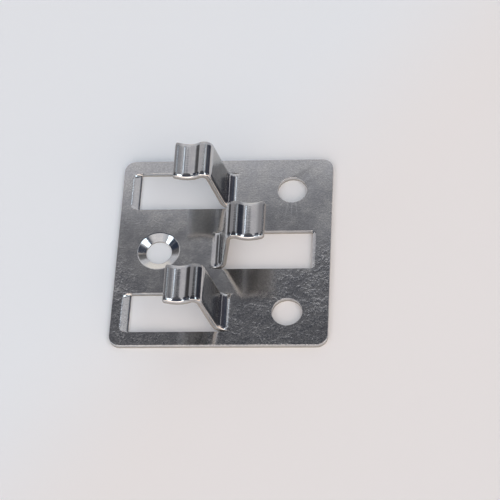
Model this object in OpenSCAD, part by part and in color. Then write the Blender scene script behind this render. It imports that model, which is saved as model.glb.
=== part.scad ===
// Hidden board fixing clip: one square plate pressed from sheet steel.
// Three tabs are lanced out of the plate and folded up into sprung hooks.
// X runs along the tabs, Y across the rows, and the plate lies on Z = 0.

/* [Sheet] */
// Thickness of the sheet
sheet_t = 1; // [0.8:0.1:1.2]

/* [Plate] */
// Length of the plate, along the tabs
plate_l = 38; // [34:1:60]
// Width of the plate, across the rows of tabs
plate_w = 38; // [34:1:60]
// Radius of the plate's corners
corner_r = 2; // [0.5:0.1:3]
// Strip of sheet left between a window and the end of the plate
end_land = 1.6; // [1:0.1:4]
// Strip of sheet left between an outer window and the side of the plate
side_land = 2.65; // [2:0.05:4]
// Width of the rolled edge round the plate
edge_w = 0.25; // [0.15:0.05:0.5]
// Depth of the rolled edge round the plate
edge_d = 0.15; // [0.1:0.05:0.3]

/* [Windows] */
// Gap between a tab and each side wall of its window
side_gap = 0.25; // [0.15:0.05:0.5]
// Length of the slits past the line where a tab starts to bend
slit_past = 0.2; // [0.1:0.05:0.5]
// Width of the rolled rim round a window
rim_w = 0.5; // [0.3:0.05:0.6]
// Depth of the rolled rim round a window
rim_d = 0.3; // [0.1:0.05:0.4]
// Length of the drawn-down slope at the end of an outer window
slope_l = 1.6; // [1:0.1:2]
// Height of the sheared wall left under that slope
slope_wall = 0.15; // [0.1:0.05:0.3]
// Radius of the end corners of the middle window
window_r = 0.5; // [0.3:0.1:1]

/* [Tabs] */
// Width of a tab
tab_w = 7.2; // [6:0.1:9]
// Distance from the middle of the plate to the line where a tab starts to bend
bend_line = 2.1; // [1:0.1:3]
// Inside radius of the bend at the root of a tab
root_r = 2.1; // [1:0.1:2.5]
// Angle between the flank of a tab and the plate
flank_angle = 79; // [65:1:88]
// Height of the crest of a hook above the top of the plate
hook_h = 10.8; // [7:0.1:14]
// Inside radius of the crest
crest_r = 0.7; // [0.5:0.1:1.5]
// Steepest fall of the lip, from the crest into its dip
dip_fall = 32; // [15:1:40]
// Inside radius of the dip
dip_r = 3.2; // [2:0.1:4]
// Steepest rise of the lip, out of its dip
dip_rise = 17; // [8:1:25]
// Inside radius of the bend that levels the lip again
nose_r = 2.6; // [1.5:0.1:4]
// Fall of the flat end of the lip
nose_fall = 4; // [1:1:10]
// Length of the flat end of the lip
nose_l = 0.6; // [0.6:0.1:2]
// Radius of the corners of the lip
nose_corner_r = 0.5; // [0.2:0.1:0.6]
// Width of the rolled edges along a tab
roll_w = 0.8; // [0.4:0.1:1.2]
// Depth of the rolled edges along a tab
roll_d = 0.2; // [0.1:0.05:0.3]

/* [Fixing holes] */
// Diameter of the plain holes
hole_d = 5.3; // [4:0.1:6.5]
// Distance from the end of the plate to the plain holes
hole_inset = 7.2; // [5:0.1:9]
// Width of the rolled rim of the plain holes
hole_rim_w = 0.25; // [0.15:0.05:0.4]
// Depth of the rolled rim of the plain holes
hole_rim_d = 0.2; // [0.1:0.05:0.3]
// Diameter of the hole through the countersink
csk_hole_d = 4.6; // [3.5:0.1:5.5]
// Diameter of the countersink at the top of the plate
csk_d = 7.5; // [6.5:0.1:8]
// Depth of the countersink
csk_depth = 0.7; // [0.4:0.05:0.75]
// Distance from the end of the plate to the countersunk hole
csk_inset = 7.45; // [6:0.05:9]

/* [Hidden] */
$fn = 96;

// What a cut runs past the face it starts from
over = 0.2;
// What a tab runs on inside the plate behind its bend line
lap = slit_past + 0.8;
// Every second fold of a tab is this much slimmer all round and is swept these
// degrees into both its neighbours, so that they overlap and join as one solid
slimmer = 0.005;
overrun = 2;

window_w = tab_w + 2 * side_gap;
row_pitch = plate_w / 2 - side_land - window_w / 2;
window_end = plate_l / 2 - end_land - slope_l;
window_root = -bend_line - slit_past;
hole_x = plate_l / 2 - hole_inset;
csk_x = -(plate_l / 2 - csk_inset);

// Straight length of the flank that brings the crest to its height
flank_l = (hook_h - (root_r + crest_r + sheet_t) * (1 - cos(flank_angle))) / sin(flank_angle);

// The folds of a tab from its root to its lip: [length] is flat, and
// [inside radius, angle] is a bend, up where the angle is positive
FOLDS = [
    [lap],
    [root_r, flank_angle],
    [flank_l],
    [crest_r, -flank_angle - dip_fall],
    [dip_r, dip_fall + dip_rise],
    [nose_r, -dip_rise - nose_fall],
];

// Waste of a rounded edge: the sheet lies at x > 0, under y = 0, and the
// round runs from the wall at depth d to the surface at distance w
module round_off(w, d, behind = over) {
    r = (w * w + d * d) / (2 * d);
    difference() {
        translate([-behind, -d]) square([w + behind, d + over]);
        translate([w, -r]) circle(r);
    }
}

// Straight round along Y, on a wall that faces -X
module round_edge(length, w, d) {
    translate([0, 0, sheet_t]) rotate([90, 0, 0])
        linear_extrude(length, center = true) round_off(w, d);
}

// Quarter turn of the same round about Z, on the inside of a corner
module round_corner(r, w, d) {
    translate([0, 0, sheet_t]) rotate_extrude(angle = 90)
        translate([r, 0]) round_off(w, d, min(over, r));
}

// Waste of a corner at the origin, of an outline at x < 0 and y < 0
module corner_off(r) {
    mirror([1, 0]) round_off(r, r);
}

// Both of what follows, mirrored in Y
module both_sides() {
    for (side = [0, 1]) mirror([0, side, 0]) children();
}

// Square plate with round corners and a rolled top edge
module blank() {
    x = plate_l / 2;
    y = plate_w / 2;
    difference() {
        translate([-x, -y, 0]) cube([plate_l, plate_w, sheet_t]);
        for (end = [0, 1]) mirror([end, 0, 0]) {
            both_sides() {
                translate([x, y, -over]) linear_extrude(sheet_t + 2 * over) corner_off(corner_r);
                translate([x - corner_r, y - corner_r, sheet_t]) rotate_extrude(angle = 90)
                    translate([corner_r, 0]) mirror([1, 0]) round_off(edge_w, edge_d);
            }
            translate([x, 0, 0]) mirror([1, 0, 0]) round_edge(plate_w - 2 * corner_r, edge_w, edge_d);
        }
        both_sides() translate([0, y, 0]) rotate([0, 0, -90])
            round_edge(plate_l - 2 * corner_r, edge_w, edge_d);
    }
}

// Opening of a window whose tab points to +X, with its rolled rims. In an outer
// window the whole end is drawn down, and the same round runs on along the sides.
module window(outer) {
    half = window_w / 2;
    w = outer ? slope_l : rim_w;
    d = outer ? sheet_t - slope_wall : rim_d;
    r = outer ? 0 : window_r;
    side_l = window_end - r - window_root;
    wall = half + rim_w - w;
    translate([0, 0, -over]) linear_extrude(sheet_t + 2 * over) difference() {
        translate([window_root, -half]) square([window_end - window_root, window_w]);
        if (!outer) for (side = [0, 1]) mirror([0, side])
            translate([window_end, half]) corner_off(r);
    }
    both_sides() {
        translate([window_root + side_l / 2, wall, 0]) rotate([0, 0, 90]) round_edge(side_l, w, d);
        translate([window_end - r, wall - r, 0]) round_corner(r, w, d);
    }
    translate([window_end, 0, 0]) round_edge(2 * (wall - r), w, d);
}

// Plain screw hole with a rolled rim
module plain_hole() {
    translate([0, 0, -over]) cylinder(h = sheet_t + 2 * over, d = hole_d);
    translate([0, 0, sheet_t]) rotate_extrude()
        translate([hole_d / 2, 0]) round_off(hole_rim_w, hole_rim_d);
}

// Screw hole with a coined countersink
module countersunk_hole() {
    flare = (csk_d - csk_hole_d) / csk_depth;
    translate([0, 0, -over]) cylinder(h = sheet_t + 2 * over, d = csk_hole_d);
    translate([0, 0, sheet_t - csk_depth])
        cylinder(h = csk_depth + over, d1 = csk_hole_d, d2 = csk_d + flare * over);
}

// Section across fold number i: width along x, thickness along y, top edges rolled
module tab_section(i) {
    slim = i % 2 * slimmer;
    half = tab_w / 2 - slim;
    top = sheet_t - slim;
    difference() {
        translate([-half, slim]) square([2 * half, top - slim]);
        for (side = [0, 1]) mirror([side, 0]) translate([-half, top]) round_off(roll_w, roll_d);
    }
}

// Flat length of a tab, along +X
module flat(i, length) {
    rotate([90, 0, 90]) linear_extrude(length) tab_section(i);
}

// Bend of a tab: the sheet comes in along +X and turns about a line along Y
module bend(i, r, angle) {
    more = i % 2 * overrun;
    if (angle > 0)
        translate([0, 0, sheet_t + r]) rotate([90, 90 + more, 0]) rotate_extrude(angle = angle + 2 * more)
            translate([r + sheet_t, 0]) rotate(90) tab_section(i);
    else
        translate([0, 0, -r]) rotate([-90, -90 - more, 0]) rotate_extrude(angle = 2 * more - angle)
            translate([r, 0]) rotate(-90) tab_section(i);
}

// Places what follows where a bend ends, seen from where it starts
module past_bend(r, angle) {
    axis = angle > 0 ? sheet_t + r : -r;
    translate([0, 0, axis]) rotate([0, -angle, 0]) translate([0, 0, -axis]) children();
}

// Flat end of the lip, with round corners
module nose() {
    difference() {
        flat(len(FOLDS), nose_l);
        both_sides() translate([nose_l, tab_w / 2, -over])
            linear_extrude(sheet_t + 2 * over) corner_off(nose_corner_r);
    }
}

// The folds from number i on, each carried by the one before
module folds(i = 0) {
    if (i == len(FOLDS)) {
        nose();
    } else if (len(FOLDS[i]) == 1) {
        length = FOLDS[i][0];
        flat(i, length);
        translate([length, 0, 0]) folds(i + 1);
    } else {
        bend(i, FOLDS[i][0], FOLDS[i][1]);
        past_bend(FOLDS[i][0], FOLDS[i][1]) folds(i + 1);
    }
}

// Tab that points to +X
module tab() {
    translate([-bend_line - lap, 0, 0]) folds();
}

// Places what follows in the three rows: the outer two point to -X
module rows() {
    for (side = [-1, 1]) translate([0, side * row_pitch, 0]) mirror([1, 0, 0]) children(0);
    children(1);
}

module clip_plate() {
    color("silver") union() {
        difference() {
            blank();
            rows() {
                window(outer = true);
                window(outer = false);
            }
            for (side = [-1, 1]) translate([hole_x, side * row_pitch, 0]) plain_hole();
            translate([csk_x, 0, 0]) countersunk_hole();
        }
        rows() {
            tab();
            tab();
        }
    }
}

clip_plate();
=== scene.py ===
"""Hidden board fixing clip: one plate pressed from bright sheet steel, with three sprung hooks."""

import bpy
import numpy as np
from mathutils import Matrix, Vector
from mathutils.geometry import delaunay_2d_cdt


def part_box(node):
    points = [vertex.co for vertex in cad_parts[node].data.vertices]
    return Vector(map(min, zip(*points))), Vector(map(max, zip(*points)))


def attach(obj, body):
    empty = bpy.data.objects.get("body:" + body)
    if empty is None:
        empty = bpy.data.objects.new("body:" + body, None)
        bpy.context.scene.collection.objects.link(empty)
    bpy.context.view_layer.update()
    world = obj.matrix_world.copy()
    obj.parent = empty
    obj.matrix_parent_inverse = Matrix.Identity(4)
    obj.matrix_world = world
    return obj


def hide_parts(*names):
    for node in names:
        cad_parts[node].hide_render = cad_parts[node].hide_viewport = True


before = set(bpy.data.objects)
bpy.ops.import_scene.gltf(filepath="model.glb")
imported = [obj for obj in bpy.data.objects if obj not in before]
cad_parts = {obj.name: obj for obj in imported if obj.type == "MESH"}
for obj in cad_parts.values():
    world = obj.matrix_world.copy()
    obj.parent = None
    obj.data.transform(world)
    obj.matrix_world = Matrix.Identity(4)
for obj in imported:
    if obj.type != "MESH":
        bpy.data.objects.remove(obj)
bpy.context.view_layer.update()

# ---- The blank ----
# The clip starts as a square of bright cold-rolled sheet steel. The press shears it out of
# the strip with round corners, and the shear draws its upper edge down into a narrow roll.

MM = 0.001  # lengths are in millimetres until the finished mesh is made
low, high = (np.array(corner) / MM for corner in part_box("clip_plate"))
sheet = 1.0
half_plate = (high[0] - low[0]) / 2
corner_r = 2.0
edge_w, edge_depth = 0.08, 0.08  # width of the roll on the face, depth on the sheared wall

patches = []  # grids of (points, normals, sheet coordinates, share of sheared wall, depth in it)
face_lines, underside_lines = [], []  # closed lines that the sheet's two flat faces end on


def between(start, end, steps):
    """Evenly spaced numbers from start to end, both of them included."""
    return np.linspace(start, end, steps + 1)


def arc(centre, radius, start, end, steps):
    """Points of a circle about the centre, from one angle to the other, in degrees."""
    angle = np.radians(between(start, end, steps))
    return np.stack([centre[0] + radius * np.cos(angle), centre[1] + radius * np.sin(angle)], 1)


def unit(vectors):
    """The same vectors at length one."""
    return vectors / np.linalg.norm(vectors, axis=-1, keepdims=True)


def along(grid, axis, closed=False):
    """Tangent at each point of a grid: the step from its neighbour before to the one after."""
    if closed:
        inner = np.take(grid, np.arange(grid.shape[axis] - 1), axis)
        step = np.roll(inner, -1, axis) - np.roll(inner, 1, axis)
        return np.concatenate([step, np.take(step, [0], axis)], axis)
    return np.gradient(grid, axis=axis)


def lay(points, facing, flat, sheared=0.0, depth=0.0, closed=False):
    """Keeps a grid of points as one patch. Its normals are the cross product of its two
    tangents, turned to the side that `facing` points to. Where both tangents lie along one
    line, a trace of `facing` stands in for the product."""
    normals = np.cross(along(points, 0), along(points, 1, closed))
    facing = np.broadcast_to(facing, points.shape)
    side = np.sign(np.sum(normals * facing, -1, keepdims=True))
    size = points.shape[:2]
    patches.append((points, unit(normals * side + 1e-9 * facing), np.broadcast_to(flat, size + (2,)),
                    np.broadcast_to(sheared, size), np.broadcast_to(depth, size)))


def path_length(line):
    """Distance along a line of points, from its first point to each."""
    return np.concatenate([[0], np.cumsum(np.linalg.norm(np.diff(line, axis=0), axis=1))])


def rolled_edge(wall_line, face_line, depth, closed=False, steepest=0.97, least=1e-3):
    """Edge of a face that shearing drew down. Across it runs an arc that is level at the
    face line and reaches `depth` at the wall line: of a circle where it is wider than
    deep, and otherwise of an ellipse. The squared sine of the arc's turn stays under
    `steepest`, and an edge shallower than `least` has the arc of one that deep."""
    width = np.linalg.norm(face_line - wall_line, axis=1)
    deep = np.maximum(depth, least)
    radius = (width ** 2 + deep ** 2) / (2 * deep)
    turn = np.where(deep < width, np.minimum((width / radius) ** 2, steepest), steepest)
    share = np.sin(between(0, np.pi / 2, 9))[:, None]
    drop = depth * (1 - np.sqrt(1 - turn * (1 - share) ** 2)) / (1 - np.sqrt(1 - turn))
    plan = wall_line + share[:, :, None] * (face_line - wall_line)
    lay(np.dstack([plan, sheet - drop]), (0, 0, 1), plan, closed=closed)


def sheared_wall(line, outward, depth, closed=False):
    """Wall that the shear left, from the underside up to the rolled edge."""
    top = sheet - np.broadcast_to(depth, len(line))
    rise = between(0, 1, 2)[:, None] * top
    points = np.dstack([np.broadcast_to(line, rise.shape + (2,)), rise])
    flat = np.dstack([np.broadcast_to(path_length(line), rise.shape), rise])
    facing = np.dstack([np.broadcast_to(outward, rise.shape + (2,)), 0 * rise])
    lay(points, facing, flat, 1.0, sheet - rise, closed)


def sheared_edge(wall_line, face_line, depth):
    """Edge all round a closed line: its roll, its wall, and the lines the faces end on."""
    rolled_edge(wall_line, face_line, np.full(len(wall_line), depth), closed=True)
    sheared_wall(wall_line, wall_line - face_line, depth, closed=True)
    face_lines.append(face_line[:-1])
    underside_lines.append(wall_line[:-1])


def rounded_square(half, radius, steps=14):
    """Outline of a square with round corners, closed, counterclockwise."""
    inner = half - radius
    sides = [arc((inner * x, inner * y), radius, turn, turn + 90, steps)
             for x, y, turn in ((1, 1, 0), (-1, 1, 90), (-1, -1, 180), (1, -1, 270))]
    return np.concatenate(sides + [sides[0][:1]])


sheared_edge(rounded_square(half_plate, corner_r),
             rounded_square(half_plate - edge_w, corner_r - edge_w), edge_depth)

# ---- The screw holes ----
# Two plain holes are pierced at the end that the outer hooks turn away from. The hole
# between the outer hooks' windows is pierced too, and then coined to a countersink.

row_pitch = 12.5
plain_r, plain_x = 2.65, 11.8
rim_w, rim_depth = 0.06, 0.06
screw_r, screw_x = 2.3, -11.55
sink_r = 3.75
sink_depth = 0.7
sink_round = 0.1  # reach of the soft edge either side of the countersink's rim


def ring(centre, radius, steps=72):
    """Closed circle of points, counterclockwise."""
    return arc(centre, radius, 0, 360, steps)


for row in (-row_pitch, row_pitch):
    sheared_edge(ring((plain_x, row), plain_r), ring((plain_x, row), plain_r + rim_w), rim_depth)

# The cone rises evenly, and over the soft edge its depth dies away as a square
slope = sink_depth / (sink_r - screw_r)
cone = between(screw_r, sink_r - sink_round, 6)[:-1]
ease = between(0, 1, 8)
sink_radii = np.concatenate([cone, sink_r - sink_round + 2 * sink_round * ease])
sink_down = np.concatenate([sink_depth - slope * (cone - screw_r),
                            slope * sink_round * (1 - ease) ** 2])
rings = np.stack([ring((screw_x, 0), radius) for radius in sink_radii])
sink_z = np.broadcast_to((sheet - sink_down)[:, None], rings.shape[:2])
lay(np.dstack([rings, sink_z]), (0, 0, 1), rings, closed=True)
sheared_wall(rings[0], np.array((screw_x, 0)) - rings[0], sink_depth, closed=True)
face_lines.append(rings[-1][:-1])
underside_lines.append(rings[0][:-1])

# ---- The windows ----
# Each tab is lanced on three sides and folded up out of its own window. The shear draws
# the window's upper edge down, and at the far end of the outer windows, where the punch
# enters first, the whole strip of sheet is drawn down into a slope.

ROWS = ((-1, -row_pitch), (-1, row_pitch), (1, 0.0))  # way the tab points, middle of the row
half_tab = 3.6
half_window = 3.85
window_root = -2.3  # where the slits end, for a tab that points to +X
slit_past = 0.2  # length of a slit past the line where its tab starts to bend
window_end = 15.8
slit_tip = 0.02  # gap beside the tab where a slit ends
slit_opens = 1.6  # length over which a slit opens to the window's width
onset = 0.6  # length over which the rolled edges fade in from the ends of the slits
leads = 3.0  # length before a corner over which the face line gets ahead of the wall line
deepens = 2.2  # length before a corner over which the edge starts to deepen
window_edges = []  # way, row, face line and wall line of each window


def fade(share):
    """Smooth step from 0 to 1, level at both ends."""
    share = np.clip(share, 0, 1)
    return share * share * (3 - 2 * share)


def in_row(points, way, row):
    """Points of a row whose tab points to +X, moved to their own row and, where `way` is
    -1, mirrored so that the tab points to -X."""
    size = points.shape[-1]
    return points * np.array((way, 1, 1))[:size] + np.array((0, row, 0))[:size]


def both_sides(line):
    """A line from the root round one side and the end, carried on round the other side."""
    return np.concatenate([line, (line * (1, -1))[-2::-1]])


def drawn_slope(wall_line, face_line, depth, crease=0.1, lip=0.06):
    """Strip of a face that is drawn down into a slope. With f the share of the way from the
    face line to the wall line, it falls as the root of f squared plus `crease` squared,
    which turns from level to straight, and a share `lip` of it falls as f to the twentieth."""
    share = ((1 - np.cos(between(0, np.pi, 20))) / 2)[:, None]
    fall = 1 - share
    straight = (np.sqrt(fall ** 2 + crease ** 2) - crease) / (np.sqrt(1 + crease ** 2) - crease)
    drop = depth * ((1 - lip) * straight + lip * fall ** 20)
    plan = wall_line + share[:, :, None] * (face_line - wall_line)
    lay(np.dstack([plan, sheet - drop]), (0, 0, 1), plan)


def window_lines(outer, corner_steps=14, end_steps=6):
    """Wall line, face line and depth of the rolled edge round one window. The side starts
    at the slit's end and runs to the corner, an arc on each line joins it to the end, and
    points at the same share of each stretch belong together."""
    end_w, end_depth, side_depth = (1.6, 0.56, 0.03) if outer else (0.6, 0.14, 0.03)
    side_w, wall_r, face_r = (0.04, 0.3, 1.3) if outer else (0.04, 0.5, 0.8)
    end_x, side_y = window_end + end_w, half_window + side_w
    wall_side, face_side = window_end - wall_r, end_x - face_r
    start = window_root + onset * between(0, 1, 10)
    wall_x = np.concatenate([start, start[-1] + between(0, 1, 24)[1:] * (wall_side - start[-1])])
    face_x = wall_x + (face_side - wall_side) * fade((wall_x - wall_side + leads) / leads)
    opened = fade((wall_x - window_root) / onset)
    narrowing = 1 - fade((wall_x - window_root) / slit_opens)
    wall_y = half_window + (half_tab + slit_tip - half_window) * narrowing
    side = np.stack([wall_x, wall_y], 1)
    side_face = np.stack([face_x, wall_y + side_w * opened], 1)
    corner = arc((wall_side, half_window - wall_r), wall_r, 90, 0, corner_steps)
    corner_face = arc((face_side, side_y - face_r), face_r, 90, 0, corner_steps)
    inward = 1 - between(0, 1, end_steps)[1:]
    end = np.stack([np.full(end_steps, window_end), inward * (half_window - wall_r)], 1)
    end_face = np.stack([np.full(end_steps, end_x), inward * (side_y - face_r)], 1)
    wall = np.concatenate([side, corner[1:], end])
    face = np.concatenate([side_face, corner_face[1:], end_face])
    past_side = path_length(wall) - path_length(wall)[len(side) - 1]
    turned = fade((past_side + deepens) / (deepens + 0.5 * np.pi * wall_r))
    depth = side_depth + (end_depth - side_depth) * turned
    depth[:len(side)] *= opened
    return both_sides(wall), both_sides(face), np.concatenate([depth, depth[-2::-1]])


for way, row in ROWS:
    wall_line, face_line, depth = window_lines(outer=way < 0)
    wall_line, face_line = in_row(wall_line, way, row), in_row(face_line, way, row)
    (drawn_slope if way < 0 else rolled_edge)(wall_line, face_line, depth)
    outward = face_line - wall_line
    outward[[0, -1]] = (0, 1), (0, -1)
    sheared_wall(wall_line, -outward, depth)
    for side in (1, -1):
        slit_end = np.array([[window_root, side * half_tab], [window_root, side * (half_tab + slit_tip)]])
        sheared_wall(in_row(slit_end, way, row), (way, 0), 0.0)
    window_edges.append((way, row, face_line, wall_line))

# ---- The hooks ----
# A hook is the lanced tab itself: bent up at its root, straight up the flank, folded over
# a tight crest, down into a dip and up again to a short nose. The die rolled its upper
# edges all the way along, and they are what shows on the crest and in the dip.

root_bend = (2.1, 79.0)  # inside radius and angle of a bend, up where the angle is positive
crest = (0.7, -111.0)
dip = (3.2, 53.0)
rise = 0.45  # straight length between the dip and the nose's bend
nose_bend = (1.5, -5.0)
nose = 0.6
nose_corner = 0.5
degrees_a_step = 2.5  # a bend has one step for each of these
flank_steps, corner_steps = 12, 12
steepness = np.radians(root_bend[1])
bend_rise = (root_bend[0] + crest[0] + sheet) * (1 - np.cos(steepness))
flank = (high[2] - sheet - bend_rise) / np.sin(steepness)
tab_roll = (0.85, 0.19)  # width and depth of the roll along a tab
tab_round = 0.2  # radius of the round at its very edge
tab_onset = 2.6  # length over which both fade in from the root
nose_roll = (0.35, 0.2)


def tab_path():
    """Stations along a tab from its root line: length along the flat sheet, place of the
    underside, slope of the tab and half its width. A straight stretch goes on along its
    slope, and a bend turns about an axis on its inner side."""
    length, x, z, slope = [0.0], [window_root], [0.0], [0.0]

    def straight(distances):
        """Goes on along the present slope, by one distance after another."""
        for distance in distances:
            length.append(length[-1] + distance)
            x.append(x[-1] + distance * np.cos(slope[-1]))
            z.append(z[-1] + distance * np.sin(slope[-1]))
            slope.append(slope[-1])

    def bend(inside, angle):
        """Turns by an angle in degrees, about an axis at the inside radius from the sheet."""
        turn = np.radians(angle)
        begin = slope[-1]
        now = begin + turn * between(0, 1, int(abs(angle) / degrees_a_step) + 1)[1:]
        lean = (inside + (sheet if turn > 0 else 0)) * np.sign(turn)
        x.extend(x[-1] + lean * (np.sin(now) - np.sin(begin)))
        z.extend(z[-1] - lean * (np.cos(now) - np.cos(begin)))
        length.extend(length[-1] + (inside + sheet / 2) * abs(now - begin))
        slope.extend(now)

    straight([slit_past])
    bend(*root_bend)
    straight(np.full(flank_steps, flank / flank_steps))
    bend(*crest)
    bend(*dip)
    straight([rise])
    bend(*nose_bend)
    swing = np.radians(between(0, 90, corner_steps))
    straight([nose - nose_corner])
    straight(np.diff(nose_corner * np.sin(swing)))
    half = np.full(len(length), half_tab)
    half[-corner_steps:] -= nose_corner * (1 - np.cos(swing[1:]))
    return [np.array(values) for values in (length, x, z, slope, half)]


def round_drop(distance, width, depth):
    """Depth of a round at a distance from its wall: a quarter of an ellipse, level at
    `width` and upright at the wall."""
    share = np.clip(width - distance, 0, width) / width
    return depth * (1 - np.sqrt(1 - share ** 2))


def roll_drop(distance, width, depth):
    """Depth of a drawn-down edge at a distance from its wall: the square of the share of
    `width` that is left, times `depth`."""
    return depth * (np.clip(width - distance, 0, width) / width) ** 2


length, under_x, under_z, tilt, half_width = tab_path()
forward = np.stack([np.cos(tilt), 0 * tilt, np.sin(tilt)], 1)
upward = np.stack([-np.sin(tilt), 0 * tilt, np.cos(tilt)], 1)

# Stations across a tab, as shares of half its width: close together over the rolled edges
over_round = tab_round * (1 - np.cos(between(0, np.pi / 2, 8)))
inset = np.concatenate([over_round, between(tab_round, tab_roll[0], 5)[1:]])
level = between(-half_tab + tab_roll[0], half_tab - tab_roll[0], 6)[1:-1]
tab_share = np.concatenate([-half_tab + inset, level, (half_tab - inset)[::-1]]) / half_tab
across = tab_share * half_width[:, None]

to_side, to_end = half_tab - np.abs(across), (length[-1] - length)[:, None]
side_drop = roll_drop(to_side, *tab_roll) + round_drop(to_side, tab_round, tab_round)
tab_depth = fade(length / tab_onset)[:, None] * side_drop + round_drop(to_end, *nose_roll)


def tab_points(height):
    """Points of a tab at a height above its underside, square to it."""
    foot = np.stack([under_x, 0 * under_x, under_z], 1)[:, None]
    points = foot + height[..., None] * upward[:, None]
    points[..., 1] += across
    return points


tab_face = tab_points(sheet - tab_depth)
tab_underside = tab_points(0 * across)
tab_flat = np.dstack([np.broadcast_to(window_root + length[:, None], across.shape), across])


def tab_wall(edge, run, way, row, facing):
    """Sheared wall from a tab's underside up to its face. `edge` picks a line out of the
    tab's grids, and `run` is the place along it."""
    bottom, top, height = tab_underside[edge], tab_face[edge], sheet - tab_depth[edge]
    heights = np.stack([0 * height, height / 2, height])
    flat = np.dstack([np.broadcast_to(run, heights.shape), heights])
    wall = np.stack([bottom, (bottom + top) / 2, top])
    lay(in_row(wall, way, row), facing, flat, 1.0, sheet - heights)


for way, row in ROWS:
    turned_up = in_row(upward[:, None], way, 0)
    flat = in_row(tab_flat, way, row)
    lay(in_row(tab_face, way, row), turned_up, flat)
    lay(in_row(tab_underside, way, row), -turned_up, flat)
    tab_wall(np.s_[:, 0], length, way, row, (0, -1, 0))
    tab_wall(np.s_[:, -1], length, way, row, (0, 1, 0))
    tab_wall(-1, across[-1], way, row, in_row(forward[-1], way, 0))

# ---- The sheet's two faces ----
# What the press left flat: the upper face up to the rolled edges, and the whole underside.
# Both are filled between the lines that the edges, holes, windows and tabs end on.


def closed_at_root(line, way, row):
    """A window's line, closed across the ends of its slits and the root of its tab."""
    root = np.stack([np.full_like(tab_share, window_root), -tab_share[::-1] * half_tab], 1)
    return np.concatenate([line, in_row(root, way, row)])


def fill(lines, z):
    """Triangles between an outline and the holes in it, all at one height. A triangle is
    kept where a line from its middle towards +X crosses the outlines an odd number of times."""
    outline = np.concatenate(lines)
    starts = np.cumsum([0] + [len(line) for line in lines])
    edges = np.concatenate([np.stack([np.arange(a, b), np.roll(np.arange(a, b), -1)], 1)
                            for a, b in zip(starts[:-1], starts[1:])])
    _, _, faces, sources = delaunay_2d_cdt([Vector(p) for p in outline], edges.tolist(), [], 1, 1e-6)[:4]
    points = outline[[ids[0] for ids in sources]]
    faces = np.array(faces)
    middle = points[faces].mean(1)[:, None]
    begin, end = outline[edges[:, 0]], outline[edges[:, 1]]
    straddles = (begin[:, 1] > middle[..., 1]) != (end[:, 1] > middle[..., 1])
    with np.errstate(divide="ignore", invalid="ignore"):  # level edges, which straddle nothing
        crossing = begin[:, 0] + (middle[..., 1] - begin[:, 1]) * (end - begin)[:, 0] / (end - begin)[:, 1]
    inside = np.sum(straddles & (crossing > middle[..., 0]), 1) % 2 == 1
    return np.column_stack([points, np.full(len(points), z)]), faces[inside]


face_lines += [closed_at_root(face_line, way, row) for way, row, face_line, _ in window_edges]
underside_lines += [closed_at_root(wall_line, way, row) for way, row, _, wall_line in window_edges]
flats = ((fill(face_lines, sheet), 1.0), (fill(underside_lines, 0.0), -1.0))

# ---- The finished clip ----
# One closed skin of all the patches and both flat faces, as the clip is one piece of sheet.
# Corners at one place share a vertex, and each keeps its own patch's normal, so that a
# rolled edge runs smoothly into the face and a sheared wall ends sharply.


def cell_corners(grid):
    """Values of a grid at the four corners of each of its cells, one row to a corner."""
    cells = np.stack([grid[:-1, :-1], grid[:-1, 1:], grid[1:, 1:], grid[1:, :-1]], 2)
    return cells.reshape(-1, *grid.shape[2:])


quad_points, quad_normals, quad_flat, quad_cut, quad_deep = (
    np.concatenate([cell_corners(grid) for grid in grids]) for grids in zip(*patches))
flat_points = np.concatenate([points[faces].reshape(-1, 3) for (points, faces), _ in flats])
flat_normals = np.concatenate([np.broadcast_to((0, 0, side), (faces.size, 3)) for (_, faces), side in flats])
all_points = np.concatenate([quad_points, flat_points])
normals = np.concatenate([quad_normals, flat_normals])
on_sheet = np.concatenate([quad_flat, flat_points[:, :2]])
cut = np.concatenate([quad_cut, np.zeros(len(flat_points))])
deep = np.concatenate([quad_deep, np.zeros(len(flat_points))])
_, first, vertex = np.unique(np.round(all_points, 5), axis=0, return_index=True, return_inverse=True)
vertex = vertex.reshape(-1)
quads = np.arange(len(quad_points)).reshape(-1, 4)
triangles = len(quad_points) + np.arange(len(flat_points)).reshape(-1, 3)


def apart(corner):
    """Which corners of each face are not at the same vertex as the corner before."""
    return vertex[corner] != vertex[np.roll(corner, 1, 1)]


def wound(corner):
    """Corners of each face, turned round where the face's own normal, the cross product of
    its diagonals, points away from the corners' normals."""
    point = all_points[corner]
    own = np.cross(point[:, 2] - point[:, 0], point[:, -1] - point[:, 1])
    away = np.sum(own * normals[corner].sum(1), 1) < 0
    return np.where(away[:, None], corner[:, ::-1], corner)


# A quad with two corners at one vertex becomes a triangle
kept = apart(quads)
pinched = kept.sum(1) == 3
first_three = np.argsort(~kept[pinched], 1, kind="stable")[:, :3]
triangles = np.concatenate([np.take_along_axis(quads[pinched], first_three, 1), triangles])
quads, triangles = wound(quads[kept.all(1)]), wound(triangles[apart(triangles).all(1)])
order = np.concatenate([quads.reshape(-1), triangles.reshape(-1)])

mesh = bpy.data.meshes.new("board_clip")
mesh.from_pydata((all_points[first] * MM).tolist(), [], vertex[quads].tolist() + vertex[triangles].tolist())
mesh.polygons.foreach_set("use_smooth", np.ones(len(mesh.polygons), bool))
layer = mesh.uv_layers.new(name="sheet")
layer.data.foreach_set("uv", (on_sheet[order] * MM).astype(np.float32).reshape(-1))
for name, values in (("sheared", cut), ("below_face", deep)):
    attribute = mesh.attributes.new(name, "FLOAT", "CORNER")
    attribute.data.foreach_set("value", values[order].astype(np.float32))
mesh.normals_split_custom_set(normals[order].tolist())
mesh.update()
clip = bpy.data.objects.new("board_clip", mesh)
bpy.context.scene.collection.objects.link(clip)
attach(clip, "root")
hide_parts("clip_plate")

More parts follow.
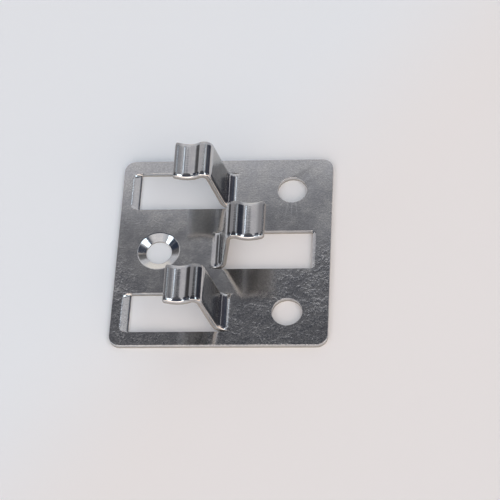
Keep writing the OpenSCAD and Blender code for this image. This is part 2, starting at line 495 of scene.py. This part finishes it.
# ---- The steel ----
# Bright cold-rolled steel with the fine pebbled grain that the rolls left, and painted glints and
# dark specks in its colour. Its sheared walls are burnished above and torn and dull below. Folding
# roughened the hooks' flanks, whose colour is painted darker as shade, and the crests and noses are painted
# darker still as shade.

grey_face, pale_face = (0.53, 0.535, 0.55, 1), (0.62, 0.62, 0.615, 1)
# painted glint: a bright speck colour that stands in for highlights; painted dark speck: its dark partner
painted_dark_speck, painted_glint = (0.27, 0.28, 0.31, 1), (0.90, 0.90, 0.92, 1)
# painted shade colours: a darker grey for the flanks, and a darker one still for the crests and noses
shaded_flank_grey, painted_crown_shade = (0.38, 0.37, 0.355, 1), (0.25, 0.25, 0.255, 1)
torn_grey = (0.44, 0.42, 0.395, 1)
fine_height, wavy_height = 0.018 * MM, 0.15 * MM  # height of the grain, and of the sheet's waves


class Wire:
    """One output of a shader node. Arithmetic on a wire adds the Math nodes that work it out."""

    def __init__(self, socket):
        self.socket = socket

    @classmethod
    def node(cls, tree, kind, settings=None, sockets=None, output=0):
        """Adds a node: first its settings, or a ramp's stops, then its sockets' values or
        links, by name or number. Returns the wire of one of its outputs."""
        made = tree.nodes.new("ShaderNode" + kind)
        for name, value in (settings or {}).items():
            if name == "stops":
                ramp = made.color_ramp.elements
                while len(ramp) < len(value):
                    ramp.new(1.0)
                for stop, (place, colour) in zip(ramp, value):
                    stop.position, stop.color = place, (*colour, 1)
            else:
                setattr(made, name, value)
        for name, value in (sockets or {}).items():
            if isinstance(value, cls):
                tree.links.new(value.socket, made.inputs[name])
            else:
                made.inputs[name].default_value = value
        return cls(made.outputs[output])

    def math(self, operation, *others):
        """This wire and up to two others, or numbers, through one Math node."""
        return Wire.node(self.socket.id_data, "Math", {"operation": operation},
                         dict(enumerate((self,) + others)))

    def __add__(self, other): return self.math("ADD", other)
    def __sub__(self, other): return self.math("SUBTRACT", other)
    def __mul__(self, other): return self.math("MULTIPLY", other)
    def __truediv__(self, other): return self.math("DIVIDE", other)
    def __rsub__(self, other): return self.math("MULTIPLY", -1.0).math("ADD", other)
    def __rtruediv__(self, other): return self.math("POWER", -1.0).math("MULTIPLY", other)
    __radd__ = __add__
    __rmul__ = __mul__

    def span(self, low, high, to_low=0.0, to_high=1.0):
        """A smooth step: to_low where this wire is below `low`, to_high where it is above `high`."""
        return Wire.node(self.socket.id_data, "MapRange", {"interpolation_type": "SMOOTHSTEP"},
                         {"Value": self, "From Min": low, "From Max": high,
                          "To Min": to_low, "To Max": to_high})

    def mix(self, colour, other):
        """This wire as a share from one colour to another."""
        return Wire.node(self.socket.id_data, "Mix", {"data_type": "RGBA"},
                         {0: self, 6: colour, 7: other}, 2)


steel = bpy.data.materials.new("bright_steel")
steel.use_nodes = True
tree = steel.node_tree
shader = tree.nodes["Principled BSDF"]
place = Wire.node(tree, "TexCoord", output=3)
along_strip = Wire.node(tree, "UVMap", {"uv_map": "sheet"})
wall_share = Wire.node(tree, "Attribute", {"attribute_name": "sheared"}, output=2)
below_face = Wire.node(tree, "Attribute", {"attribute_name": "below_face"}, output=2)
parts = Wire.node(tree, "SeparateXYZ", sockets={"Vector": place})
place_x, place_y, place_z = (Wire(output) for output in parts.socket.node.outputs)
facing = Wire.node(tree, "SeparateXYZ", sockets={"Vector": Wire.node(tree, "TexCoord", output=1)}, output=2)


def noise(vector, scale, detail=2.0, roughness=0.5, stretch=(1, 1, 1)):
    """Noise on a vector that is first stretched along its axes."""
    stretched = Wire.node(tree, "Mapping", sockets={"Vector": vector, "Scale": stretch})
    return Wire.node(tree, "TexNoise", sockets={"Vector": stretched, "Scale": scale, "Detail": detail,
                                                "Roughness": roughness})


pebble = noise(place, 3300, 2.0, 0.6, (1.4, 1.0, 1.0))
speck = noise(place, 3600, 1.0, 0.6)
grain = noise(along_strip, 5200, 2.0, 0.6, (0.15, 1.0, 1.0))
cloud = noise(place, 330, 3.0, 0.6)
blotch = noise(place, 1100, 2.0, 0.6)
warp = noise(place, 45, 1.0, 0.4)
tear = noise(along_strip, 5000, 2.0, 0.6, (1.0, 0.12, 1.0))

# Where the walls are torn, where the face is drawn up into the tabs or lies below its level,
# and how coarse the pebbles are and how thick the painted glints and dark specks lie: most at the near right
# and the near left
on_face = 1 - wall_share
torn = wall_share * (below_face / sheet + 0.35 * tear).span(0.62, 0.85)
shade = cloud.span(0.3, 0.7)
drawn = place_z.span(1.2 * MM, 2.5 * MM)
sunk = place_z.span(0.90 * MM, 0.97 * MM, 1.0, 0.0)
near_right = (0.6 * place_x - 0.8 * place_y).span(8 * MM, 13 * MM)
near_left = (0.8 * place_x + 0.6 * place_y).span(-19 * MM, -13 * MM, 0.8, 0.0)
zone = near_right.math("MAXIMUM", near_left)
coarse = (0.2 + 0.7 * zone * blotch.span(0.36, 0.62)) * (1 - 0.75 * drawn) * (1 - 0.6 * sunk)

# The flanks, and the crests and noses, whose painted shade is lightest on the far hook's crest
flank_skin = place_z.span(1.8 * MM, 3.0 * MM) * place_z.span(10.2 * MM, 10.7 * MM, 1.0, 0.0) * on_face
far_crest_spared = 0.7 * place_y.span(4 * MM, 9 * MM) * place_x.span(-8 * MM, -6 * MM)
crown = place_z.span(11.12 * MM, 11.5 * MM) * on_face * (1 - far_crest_spared)

colour = shade.mix(grey_face, pale_face)
# Painted glints and dark specks: bright and dark spots in the colour where the pebbles are coarse, standing
# in for the glints and dark facets of the grain
colour = (speck.span(0.4, 0.62) * coarse).mix(colour, painted_dark_speck)
colour = (speck.span(0.38, 0.26) * 0.8 * coarse).mix(colour, painted_glint)
# Painted shade: the flanks' colour is darkened to stand in for the dark plate that they reflect; their added
# roughness is real
colour = (0.8 * flank_skin).mix(colour, shaded_flank_grey)
# Painted shade: the crests and noses are painted darker, standing in for the dark reflections they show
colour = (0.8 * crown).mix(colour, painted_crown_shade)
colour = torn.mix(colour, torn_grey)

dull_below = facing.span(-0.7, -0.3, 0.4, 0.0)
face_rough = dull_below + 0.10 + 0.06 * speck * coarse + 0.03 * shade + 0.1 * flank_skin
rough = face_rough * on_face + wall_share * (0.22 + 0.3 * torn)
relief = ((pebble * (0.5 + 0.7 * shade) * coarse + grain * (0.05 + 0.3 * drawn)) * on_face
          + tear * wall_share * (0.5 + 1.6 * torn))
fine = Wire.node(tree, "Bump", sockets={"Strength": 1.0, "Distance": fine_height, "Height": relief})
wavy = Wire.node(tree, "Bump", sockets={"Strength": 1.0, "Distance": wavy_height, "Height": warp,
                                        "Normal": fine})
for name, wire in (("Base Color", colour), ("Roughness", rough), ("Normal", wavy)):
    tree.links.new(wire.socket, shader.inputs[name])
shader.inputs["Metallic"].default_value = 1.0
clip.data.materials.append(steel)

# ---- The table ----
# The clip lies on a matt pale table top. Its colour is painted a little bluer at the far left
# than at the near right, a painted tint that stands in for warmer light falling at the near right.
# The table is only there to be lain on, and isn't part of the clip.

table_reach = 1.2  # half the table's side, in metres
bluer, warmer = (0.845, 0.895, 0.945, 1), (0.866, 0.855, 0.860, 1)
to_near_right = (0.795, -0.605, 0)

table_mesh = bpy.data.meshes.new("table")
table_corners = [(x * table_reach, y * table_reach, 0) for x, y in ((-1, -1), (1, -1), (1, 1), (-1, 1))]
table_mesh.from_pydata(table_corners, [], [(0, 1, 2, 3)])
table = bpy.data.objects.new("table", table_mesh)
bpy.context.scene.collection.objects.link(table)
top = bpy.data.materials.new("table_top")
top.use_nodes = True
tree = top.node_tree
across_table = Wire.node(tree, "VectorMath", {"operation": "DOT_PRODUCT"},
                         {0: Wire.node(tree, "TexCoord", output=3), 1: to_near_right}, 1)
# Painted light: the warm tint towards the near right stands in for warmer light there
table_colour = across_table.span(-18 * MM, 18 * MM).mix(bluer, warmer)
tree.links.new(table_colour.socket, tree.nodes["Principled BSDF"].inputs["Base Color"])
tree.nodes["Principled BSDF"].inputs["Roughness"].default_value = 0.9
table_mesh.materials.append(top)

# ---- The light ----
# A pale room: its near wall is bright and warm, its ceiling and the gaps either side are
# dark, and a dark beam crosses it over the clip. Two lamps hang to the right and the left.

room_stops = [(0.0, (0.60, 0.62, 0.67)), (0.78, (0.86, 0.845, 0.86)), (1.0, (0.70, 0.74, 0.82))]
beam_colour = (0.035, 0.05, 0.09, 1)
beam_facing = (0, 4)  # azimuth and elevation that the beam's plane is square to
beam_edges = (12, 6)  # angles from that plane at which the beam starts, and is full
room_patches = (  # azimuth, elevation, angles at which it starts and is full, colour
    (156, 26, 60, 40, (2.75, 2.42, 2.22)),  # the near wall
    (172, 60, 28, 18, (1.00, 0.97, 0.97)),  # the ceiling above it
    (150, 0, 50, 22, (2.00, 1.74, 1.56)),  # the foot of the near wall
    (112, 8, 34, 14, (1.74, 1.36, 1.10)),  # a warm corner at the right
    (-8, 4, 28, 14, (1.05, 1.00, 0.94)),  # the foot of the far wall
    (-38, 44, 18, 8, (0.66, 0.64, 0.66)),  # the far wall, high at the left
    (-25, 79, 24.3, 21.2, (0.125, 0.125, 0.135)),  # the ceiling overhead
    (24, 54, 10, 5, (0.32, 0.32, 0.34)),  # a shade on the far wall
    (60, 39, 20, 12, (0.07, 0.08, 0.11)),  # the gap at the right, above
    (64, 16, 19, 12, (0.07, 0.07, 0.09)),  # and below
    (-64, 18, 19, 9, (0.12, 0.115, 0.12)),  # the gap at the left, below
    (-70, 37, 13, 7, (0.035, 0.045, 0.075)),  # and above
    (27, 54, 3.6, 1.6, (1.70, 1.90, 2.10)),  # a lamp on the far wall
)


def toward(azimuth, elevation):
    """Unit vector at an azimuth from +Y towards +X and an elevation, in degrees."""
    a, e = np.radians((azimuth, elevation))
    return np.array((np.sin(a) * np.cos(e), np.cos(a) * np.cos(e), np.sin(e)))


def cosine_to(azimuth, elevation):
    """Cosine of the angle between where the room is looked at and a direction."""
    return Wire.node(tree, "VectorMath", {"operation": "DOT_PRODUCT"},
                     {0: direction, 1: tuple(toward(azimuth, elevation))}, 1)


room = bpy.data.worlds.new("room")
bpy.context.scene.world = room
room.use_nodes = True
tree = room.node_tree
direction = Wire.node(tree, "TexCoord", output=0)
height = Wire.node(tree, "SeparateXYZ", sockets={"Vector": direction}, output=2)
light = Wire.node(tree, "ValToRGB", {"stops": room_stops}, {0: height})
for azimuth, elevation, outer, inner, colour in room_patches:
    near = cosine_to(azimuth, elevation).span(*np.cos(np.radians((outer, inner))))
    light = near.mix(light, (*colour, 1))
from_plane = cosine_to(*beam_facing).math("ABSOLUTE")
beam = from_plane.span(*np.sin(np.radians(beam_edges))) * height.span(0.25, 0.45)
light = beam.mix(light, beam_colour)
tree.links.new(light.socket, tree.nodes["Background"].inputs["Color"])


def lamp(name, azimuth, elevation, distance, size, power, colour):
    """A round lamp that faces the clip, with its distance and width in metres."""
    data = bpy.data.lights.new(name, "AREA")
    data.shape, data.size, data.energy, data.color = "DISK", size, power, colour
    made = bpy.data.objects.new(name, data)
    made.location = Vector(toward(azimuth, elevation) * distance)
    made.rotation_euler = made.location.to_track_quat("Z", "Y").to_euler()
    bpy.context.scene.collection.objects.link(made)


lamp("right_lamp", 91, 61, 0.6, 0.16, 0.30, (0.78, 0.93, 1.0))
lamp("left_lamp", -101, 51, 0.6, 0.13, 0.17, (0.84, 0.95, 1.0))

# ---- The camera ----
# It looks steeply down at the clip from the near side, a little from the right and a
# little tilted, from far enough away that the clip keeps its square shape.

turn, lift, roll = np.radians((12.373, 58.354, -11.112))  # round from -Y, above the table, tilt
target = Vector((4.6417, 0.5704, 0)) * MM
distance = 0.3335  # in metres
back = Vector((np.sin(turn) * np.cos(lift), -np.cos(turn) * np.cos(lift), np.sin(lift)))
right = Vector((0, 0, 1)).cross(back).normalized()
up = back.cross(right)
right, up = right * np.cos(roll) + up * np.sin(roll), up * np.cos(roll) - right * np.sin(roll)
camera_data = bpy.data.cameras.new("camera")
camera_data.lens = 135.72
camera_data.sensor_width = 36
camera = bpy.data.objects.new("camera", camera_data)
basis = Matrix((right, up, back)).transposed().to_4x4()
camera.matrix_world = Matrix.Translation(target + back * distance) @ basis
bpy.context.scene.collection.objects.link(camera)
bpy.context.scene.camera = camera
bpy.context.scene.view_settings.view_transform = "Standard"
